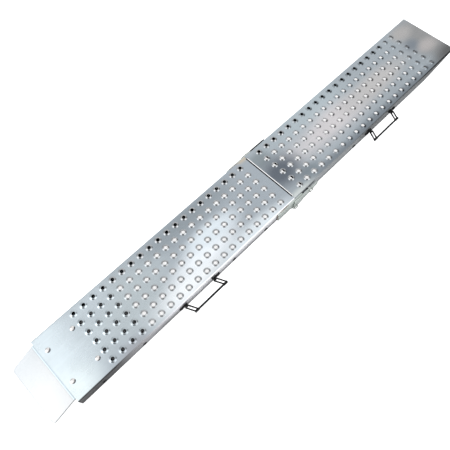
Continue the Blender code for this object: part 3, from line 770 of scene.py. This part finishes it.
def make_tongue_bolt(index, x, y):
    profile = [*dome(ROUND_HEAD_RADIUS, ROUND_HEAD_HEIGHT, 9, FIT / 2), (ROUND_HEAD_RADIUS, 0),
               (BOLT_RADIUS, 0), *shank(0.0162, 0.010)]
    made = piece(f"tongue_bolt_head_{index}", lathe(profile, (x, y, DECK_TOP)), "tongue_half", HEAD_ZINC,
                 f"tongue_bolt_{index}")
    paint(made, head_tone)
    under = (x, y, DECK_UNDER - TONGUE_PLATE - 2 * FIT)
    piece(f"tongue_bolt_nut_{index}", hexagon_head(NUT_HEIGHT, under, UPSIDE_DOWN), "tongue_half", HARDWARE,
          f"tongue_nut_{index}")


for bolt_index, (bolt_x, bolt_y) in enumerate(TONGUE_BOLTS, 1):
    make_tongue_bolt(bolt_index, bolt_x, bolt_y)


# ---------------------------------------------------------------- plates and members under the decks

def make_flat(name, node, body, start, end, low):
    """A flat sheet inside the channel, from start to end along the ramp."""
    half, corner = 0.108, 0.006
    outline = rounded([(start, -half), (end, -half), (end, half), (start, half)], corner)
    mesh = slab([outline], SHEET, (0, 0, low + SHEET / 2), Matrix())
    piece(name, mesh, body, INNER_ZINC, node, bevel=0.0003)


make_flat("floor_sheet", "tongue_floor_plate", "tongue_half", -0.859, -0.592, LIFT + SHEET + FIT)
make_flat("end_doubler_sheet", "ground_end_doubler", "ground_half", 0.705, 0.870, DECK_UNDER - FIT - SHEET)


def make_taper_lip(side, label):
    """The lip's turned-in edge where it rises with the ground half's taper."""
    climb = (DECK_TOP - TAPER_END_DEPTH - LIFT) / (GROUND_LENGTH - TAPER_START)
    reach, under, over = 0.120, LIFT + 0.0003, LIFT + 0.0018
    outline = [(TAPER_START, under), (TAPER_START + reach, under + climb * reach),
               (TAPER_START + reach, over + climb * reach), (TAPER_START, over)]
    width = LIP - SHEET
    mesh = slab([outline], width, (0, side * (FLANGE - SHEET - width / 2), 0))
    piece(f"taper_lip_{label}", mesh, "ground_half", SHADED_ZINC, bevel=0.0003)


SIDES = ((-1, "near"), (1, "back"))
for lip_side, lip_label in SIDES:
    make_taper_lip(lip_side, lip_label)


def ring(radius, bore):
    """The outlines of a tube's end."""
    return [circle((0, 0), radius, 32), circle((0, 0), bore, 24)]


def make_cross_member(label, index, x):
    """A tube between the flanges, welded round both its ends."""
    body, half_length, weld_sink = f"{label}_half", FLANGE - SHEET - FIT, 0.0006
    tube = slab(ring(CROSS_RADIUS, CROSS_BORE), 2 * half_length, (x, 0, CROSS_Z))
    piece(f"{label}_cross_tube_{index}", tube, body, INNER_ZINC, f"{label}_cross_member_{index}",
          bevel=0.0003)
    for side, side_label in SIDES:
        weld_ring(f"{label}_cross_weld_{index}_{side_label}",
                  (x, side * (FLANGE - SHEET - weld_sink), CROSS_Z), CROSS_RADIUS + weld_sink, body)


for half_label, cross_xs in (("tongue", TONGUE_CROSS_XS), ("ground", GROUND_CROSS_XS)):
    for cross_index, cross_x in enumerate(cross_xs, 1):
        make_cross_member(half_label, cross_index, cross_x)


def seam_tone(points, normals):
    """Bright with a painted highlight on the leg that shows in the slot, dark with painted shade elsewhere.
    """
    on_top = (points[:, 2:3] > DECK_UNDER + 0.001) & (normals[:, 2:3] > 0.5)
    return np.where(on_top, (1.35, 1.32, 1.18), (0.04, 0.04, 0.04))


def make_stiffener(label, side, face, sheet, rise):
    """The angle under a deck's end; the ground half's upright leg rises into the slot."""
    leg, fillet, top = 0.022, 0.001, DECK_UNDER - FIT
    inner = face + side * sheet
    outline = [(face, top + rise), (face, top - leg), (inner, top - leg),
               *[(inner + side * fillet * (1 - math.cos(a)), top - sheet - fillet + fillet * math.sin(a))
                 for a in np.linspace(0, math.pi / 2, 4)],
               (face + side * leg, top - sheet), (face + side * leg, top)]
    if rise:
        outline += [(inner, top), (inner, top + rise)]
    mesh = slab([outline], 2 * (SLOT_HALF_WIDTH - FIT), (0, 0, 0))
    made = piece(f"{label}_seam_angle", mesh, f"{label}_half", PAINTED_LIGHT_ZINC, f"{label}_seam_stiffener",
                 bevel=0.0004)
    paint(made, seam_tone)


make_stiffener("tongue", -1, -TONGUE_SLOT, 0.002, 0)
make_stiffener("ground", 1, 0.0008, 0.0037, SHEET)


# ---------------------------------------------------------------- the hinge

PLATE_FACE = FLANGE + FIT
OUTER_PLATE_FACE = PLATE_FACE + HINGE_PLATE + FIT
OUTER_FACE = OUTER_PLATE_FACE + HINGE_PLATE
TIE_RING = ring(TIE_TUBE_RADIUS, BOLT_RADIUS + FIT)


def hexagon_bolt(length, thread, place, turn):
    """A bolt whose head stands on its place, with the shank behind."""
    root = 0.001
    stem = lathe([(0, root), (BOLT_RADIUS, root), *shank(length, thread)], place, turn)
    return joined([hexagon_head(BOLT_HEAD_HEIGHT, place, turn), stem])


def outer_plate_tone(points, normals):
    """Painted shade on the back outer plate's rim and inner side."""
    return np.where(normals[:, 1:2] > 0.7, (1.0, 1.0, 1.0), (0.05, 0.05, 0.05))


def make_hinge_side(side, label):
    """One side's two hinge plates, its spacer, its pivot bolt with the nut, and the plates' welds."""
    outward, inward = (Matrix.Rotation(turn * side * math.pi / 2, 4, "X") for turn in (-1, 1))
    middle = HINGE_PLATE / 2
    bore = circle((0, 0), BOLT_RADIUS + FIT, 24)
    inner = [(-0.080, 0.0045), (-0.080, 0.0395), (-0.0785, 0.041), *arc((0.030, 0.037), 0.004, 90, 0, 5),
             (0.034, 0.028), *arc((0, 0), 0.010, 40, -140, 26), (-0.020, 0.003), (-0.0785, 0.003)]
    plate = slab([inner, bore], HINGE_PLATE, (0, side * (PLATE_FACE + middle), 0))
    piece(f"inner_hinge_plate_{label}", plate, "tongue_half", PLATE_ZINC, f"tongue_hinge_plate_{label}",
          bevel=0.0004)

    outer = [(0.104, 0.022), *arc((0.1015, 0.0317), 0.0025, 0, 90, 4), (-0.004, 0.036), (-0.0062, 0.034),
             *arc((0, 0), 0.010, 150, 320, 26), (0.040, 0.005), (0.076, 0.012), (0.102, 0.0195)]
    tie_hole = circle(TIE, BOLT_RADIUS + FIT, 24)
    made = piece(f"outer_hinge_plate_{label}",
                 slab([outer, bore, tie_hole], HINGE_PLATE, (0, side * (OUTER_PLATE_FACE + middle), 0)),
                 "ground_half", PLATE_ZINC if side < 0 else SHADE_EDGED_ZINC, f"ground_hinge_plate_{label}",
                 bevel=0.0004)
    # The back outer plate gets painted shade on its rim and inner side.
    if side > 0:
        paint(made, outer_plate_tone)
    gap = OUTER_PLATE_FACE - FLANGE - 2 * FIT
    spacer = slab(TIE_RING, gap, (TIE[0], side * (FLANGE + FIT + gap / 2), TIE[1]))
    piece(f"spacer_ring_{label}", spacer, "ground_half", HARDWARE, f"hinge_spacer_{label}", bevel=0.0003)

    nut_y = PLATE_FACE - FIT
    bolt = hexagon_bolt(OUTER_FACE + FIT - nut_y + 0.0065, 0.005, (0, side * (OUTER_FACE + FIT), 0), outward)
    piece(f"pivot_head_{label}", bolt, "tongue_half", HARDWARE, f"pivot_bolt_{label}")
    piece(f"pivot_lock_nut_{label}", hexagon_head(NUT_HEIGHT, (0, side * nut_y, 0), inward), "tongue_half",
          HARDWARE, f"pivot_nut_{label}")

    y, end_x, top_z = side * (PLATE_FACE + 0.0012), -0.0808, 0.0412
    weld_bead(f"inner_plate_end_weld_{label}", (end_x, y, 0.006), (end_x, y, 0.038), "tongue_half", 0.0019)
    weld_bead(f"inner_plate_top_weld_{label}", (-0.070, y, top_z), (-0.030, y, top_z), "tongue_half", 0.0012)


def make_tie():
    """The tube across the ground half, with the long bolt and the thin nut that hold its spacers."""
    tube = slab(TIE_RING, 2 * (FLANGE - SHEET - FIT), (TIE[0], 0, TIE[1]))
    piece("tie_tube", tube, "ground_half", SHADED_ZINC, "hinge_tie_tube", bevel=0.0003)
    seat = OUTER_FACE + FIT
    bolt = hexagon_bolt(2 * seat + 0.0024, 0.012, (TIE[0], -seat, TIE[1]), UPRIGHT)
    piece("tie_bolt", bolt, "ground_half", HARDWARE, "hinge_tie_bolt")
    nut = hexagon_head(0.003, (TIE[0], seat, TIE[1]), Matrix.Rotation(-math.pi / 2, 4, "X"))
    piece("tie_lock_nut", nut, "ground_half", HARDWARE, "hinge_tie_nut")


for hinge_side, hinge_label in SIDES:
    make_hinge_side(hinge_side, hinge_label)
make_tie()


# ---------------------------------------------------------------- the handles

# The line the wires turn about, half the distance between the arms, their reach and their lean.
HANDLE_AXIS_Y, HANDLE_AXIS_Z = -0.1186, 0.019
HANDLE_XS = {"tongue": -0.420, "ground": 0.450}
HALF_SPAN, REACH, LEAN = 0.0585, 0.030, 0.013
# Radii of the arms' wire, the grip's bar and the sleeves where they meet.
WIRE, GRIP, SLEEVE = 0.0025, 0.0033, 0.0042
ARM_HALF_GAP, ARM_CORNER, SLEEVE_OVERHANG = 0.0054, 0.0020, 0.0024


def arm_loop(x, lean):
    """One arm's closed wire, from the hinge line out to the grip, as (along, reach) points."""
    points = []
    for across, far, start in ((1, 0, 0), (1, 1, 90), (-1, 1, 180), (-1, 0, 270)):
        along = x + lean * far + across * (ARM_HALF_GAP - ARM_CORNER)
        centre = (along, REACH * far + ARM_CORNER * (1 - 2 * far))
        points += arc(centre, ARM_CORNER, start - 90, start, 4)
    return points


def make_handle(label, side):
    """One wire handle with its two feet; its arms lean along the ramp."""
    x = HANDLE_XS[label]
    lean = -side * LEAN

    def at(along, reach):
        return (x + along, HANDLE_AXIS_Y - reach, HANDLE_AXIS_Z)

    loops = [[at(*point) for point in arm_loop(arm * HALF_SPAN, lean)] for arm in (-1, 1)]
    outer = HALF_SPAN + ARM_HALF_GAP
    grip = [at(lean - outer, REACH), at(lean + outer, REACH)]
    sleeve_half, rim = ARM_HALF_GAP + SLEEVE_OVERHANG, 0.0005
    profile = [(0, -sleeve_half), (SLEEVE - rim, -sleeve_half), (SLEEVE, -sleeve_half + rim),
               (SLEEVE, sleeve_half - rim), (SLEEVE - rim, sleeve_half), (0, sleeve_half)]
    sleeves = [lathe(profile, at(lean + arm * HALF_SPAN, REACH), LENGTHWISE, 16) for arm in (-1, 1)]
    mesh = joined([wire(loops, WIRE, closed=True), wire([grip], GRIP), *sleeves])
    piece(f"carry_handle_{label}", mesh, f"{label}_handle", BLACK, f"handle_{label}", angle=50)
    for arm, end in ((-1, "tongue_end"), (1, "ground_end")):
        make_foot(label, end, x + arm * HALF_SPAN, arm)


def make_foot(label, end, x, outward):
    """A riveted foot: a plate on the flange and the rolled knuckle that holds the arm's inner bar."""
    face, sheet, half_height, corner = -(FLANGE + FIT), 0.0025, 0.006, 0.0028
    inner, outer = x - outward * 0.007, x + outward * 0.023
    rivet_x = x + outward * 0.0155
    low, high = sorted((inner, outer))
    outline = rounded([(low, HANDLE_AXIS_Z - half_height), (high, HANDLE_AXIS_Z - half_height),
                       (high, HANDLE_AXIS_Z + half_height), (low, HANDLE_AXIS_Z + half_height)], corner)
    base = slab([outline], sheet, (0, face - sheet / 2, 0))
    knuckle = slab([circle((0, 0), 0.0042, 24), circle((0, 0), WIRE + FIT, 20)], 0.0020,
                   (x, HANDLE_AXIS_Y, HANDLE_AXIS_Z), LENGTHWISE)
    body = f"{label}_half"
    piece(f"handle_foot_plate_{label}_{end}", joined([base, knuckle]), body, BLACK,
          f"handle_foot_{label}_{end}", bevel=0.0004)
    head, height, stem, length = 0.0038, 0.0018, 0.0022, 0.0055
    profile = [*dome(head, height, 7), (stem, 0), (stem, -length), (0, -length)]
    rivet = lathe(profile, (rivet_x, face - sheet - FIT / 2, HANDLE_AXIS_Z), UPRIGHT, 20)
    piece(f"handle_rivet_head_{label}_{end}", rivet, body, BLACK, f"handle_rivet_{label}_{end}")


make_handle("tongue", -1)
make_handle("ground", 1)


# ---------------------------------------------------------------- floor, light and camera

FLOOR_SIZE, FLOOR_DROP, FLOOR_GLOW = 30.0, 0.0004, 0.85


def make_floor():
    """A pale floor that stays pale in the ramp's own shade."""
    shape = bmesh.new()
    bmesh.ops.create_grid(shape, x_segments=2, y_segments=2, size=FLOOR_SIZE)
    floor = raw_object("floor", mesh_of(shape))
    floor.location.z = -FLOOR_DROP
    graph = Graph("pale_floor", Base_Color=(0.80, 0.80, 0.80, 1), Roughness=0.9)
    seen = graph.add("LightPath").outputs["Is Camera Ray"]
    graph.put(graph.shader, "Emission Color", (1, 1, 1, 1))
    graph.put(graph.shader, "Emission Strength", graph.math("MULTIPLY", seen, FLOOR_GLOW))
    floor.data.materials.append(graph.material)


def add_softbox(name, place, target, size, power):
    light = bpy.data.lights.new(name, "AREA")
    light.shape, light.size, light.size_y = "RECTANGLE", *size
    light.energy = power
    made = raw_object(name, light)
    made.location = place
    made.rotation_euler = (Vector(target) - Vector(place)).to_track_quat("-Z", "Y").to_euler()
    made.visible_camera = False


# Soft patches of the studio's walls: direction, the angles of its full and its outer edge, and the
# brightness it adds.
WALL_PATCHES = [((-0.64, 0.32, 0.70), 14, 30, 1.3), ((0.28, -0.62, 0.73), 14, 30, 1.2),
                ((-0.27, 0.87, 0.43), 16, 30, -0.40), ((0.85, -0.25, 0.48), 16, 32, -0.75)]


def make_world():
    """Soft studio walls that light the ramp, with a plain backdrop behind it."""
    world = bpy.data.worlds.new("studio")
    bpy.context.scene.world = world
    world.use_nodes = True
    nodes, links = world.node_tree.nodes, world.node_tree.links
    direction = nodes.new("ShaderNodeTexCoord").outputs["Generated"]
    total = None
    for axis, inner, outer, added in WALL_PATCHES:
        dot = nodes.new("ShaderNodeVectorMath")
        dot.operation = "DOT_PRODUCT"
        links.new(direction, dot.inputs[0])
        dot.inputs[1].default_value = Vector(axis).normalized()
        edge = nodes.new("ShaderNodeMapRange")
        edge.interpolation_type = "SMOOTHSTEP"
        start, end = math.cos(math.radians(outer)), math.cos(math.radians(inner))
        for socket, value in (("From Min", start), ("From Max", end), ("To Min", 0.0), ("To Max", added)):
            edge.inputs[socket].default_value = value
        links.new(dot.outputs["Value"], edge.inputs["Value"])
        plus = nodes.new("ShaderNodeMath")
        plus.operation = "ADD"
        links.new(edge.outputs["Result"], plus.inputs[0])
        plus.inputs[1].default_value = 1.0
        if total:
            links.new(total, plus.inputs[1])
        total = plus.outputs[0]
    plain = nodes.new("ShaderNodeMix")
    links.new(nodes.new("ShaderNodeLightPath").outputs["Is Camera Ray"], plain.inputs["Factor"])
    links.new(total, plain.inputs["A"])
    plain.inputs["B"].default_value = 1.0
    links.new(plain.outputs["Result"], nodes["Background"].inputs["Strength"])
    nodes["Background"].inputs["Color"].default_value = (0.97, 0.985, 1.0, 1)


# The camera looks down over the tongue half's near side; the ramp runs up across its view.
CAMERA_PLACE = (-0.60727, -0.48931, 1.38496)
CAMERA_VIEW, CAMERA_RIGHT = (0.28455, 0.32622, -0.90145), (0.70904, -0.70448, -0.03113)
CAMERA_LENS, CAMERA_SENSOR = 37.98, 36.0


def make_camera():
    view = Vector(CAMERA_VIEW).normalized()
    up = Vector(CAMERA_RIGHT).cross(view).normalized()
    camera = bpy.data.cameras.new("camera")
    camera.lens, camera.sensor_width = CAMERA_LENS, CAMERA_SENSOR
    camera.clip_start, camera.clip_end = 0.01, 100.0
    made = raw_object("camera", camera)
    turn = Matrix((view.cross(up), up, -view)).transposed().to_4x4()
    made.matrix_world = Matrix.Translation(CAMERA_PLACE) @ turn
    bpy.context.scene.camera = made


make_floor()
make_world()
make_camera()
add_softbox("end_softbox", (-2.6, 0.6, 0.7), (-0.9, 0, 0), (1.6, 0.8), 6)
bpy.context.scene.view_settings.view_transform = "Standard"
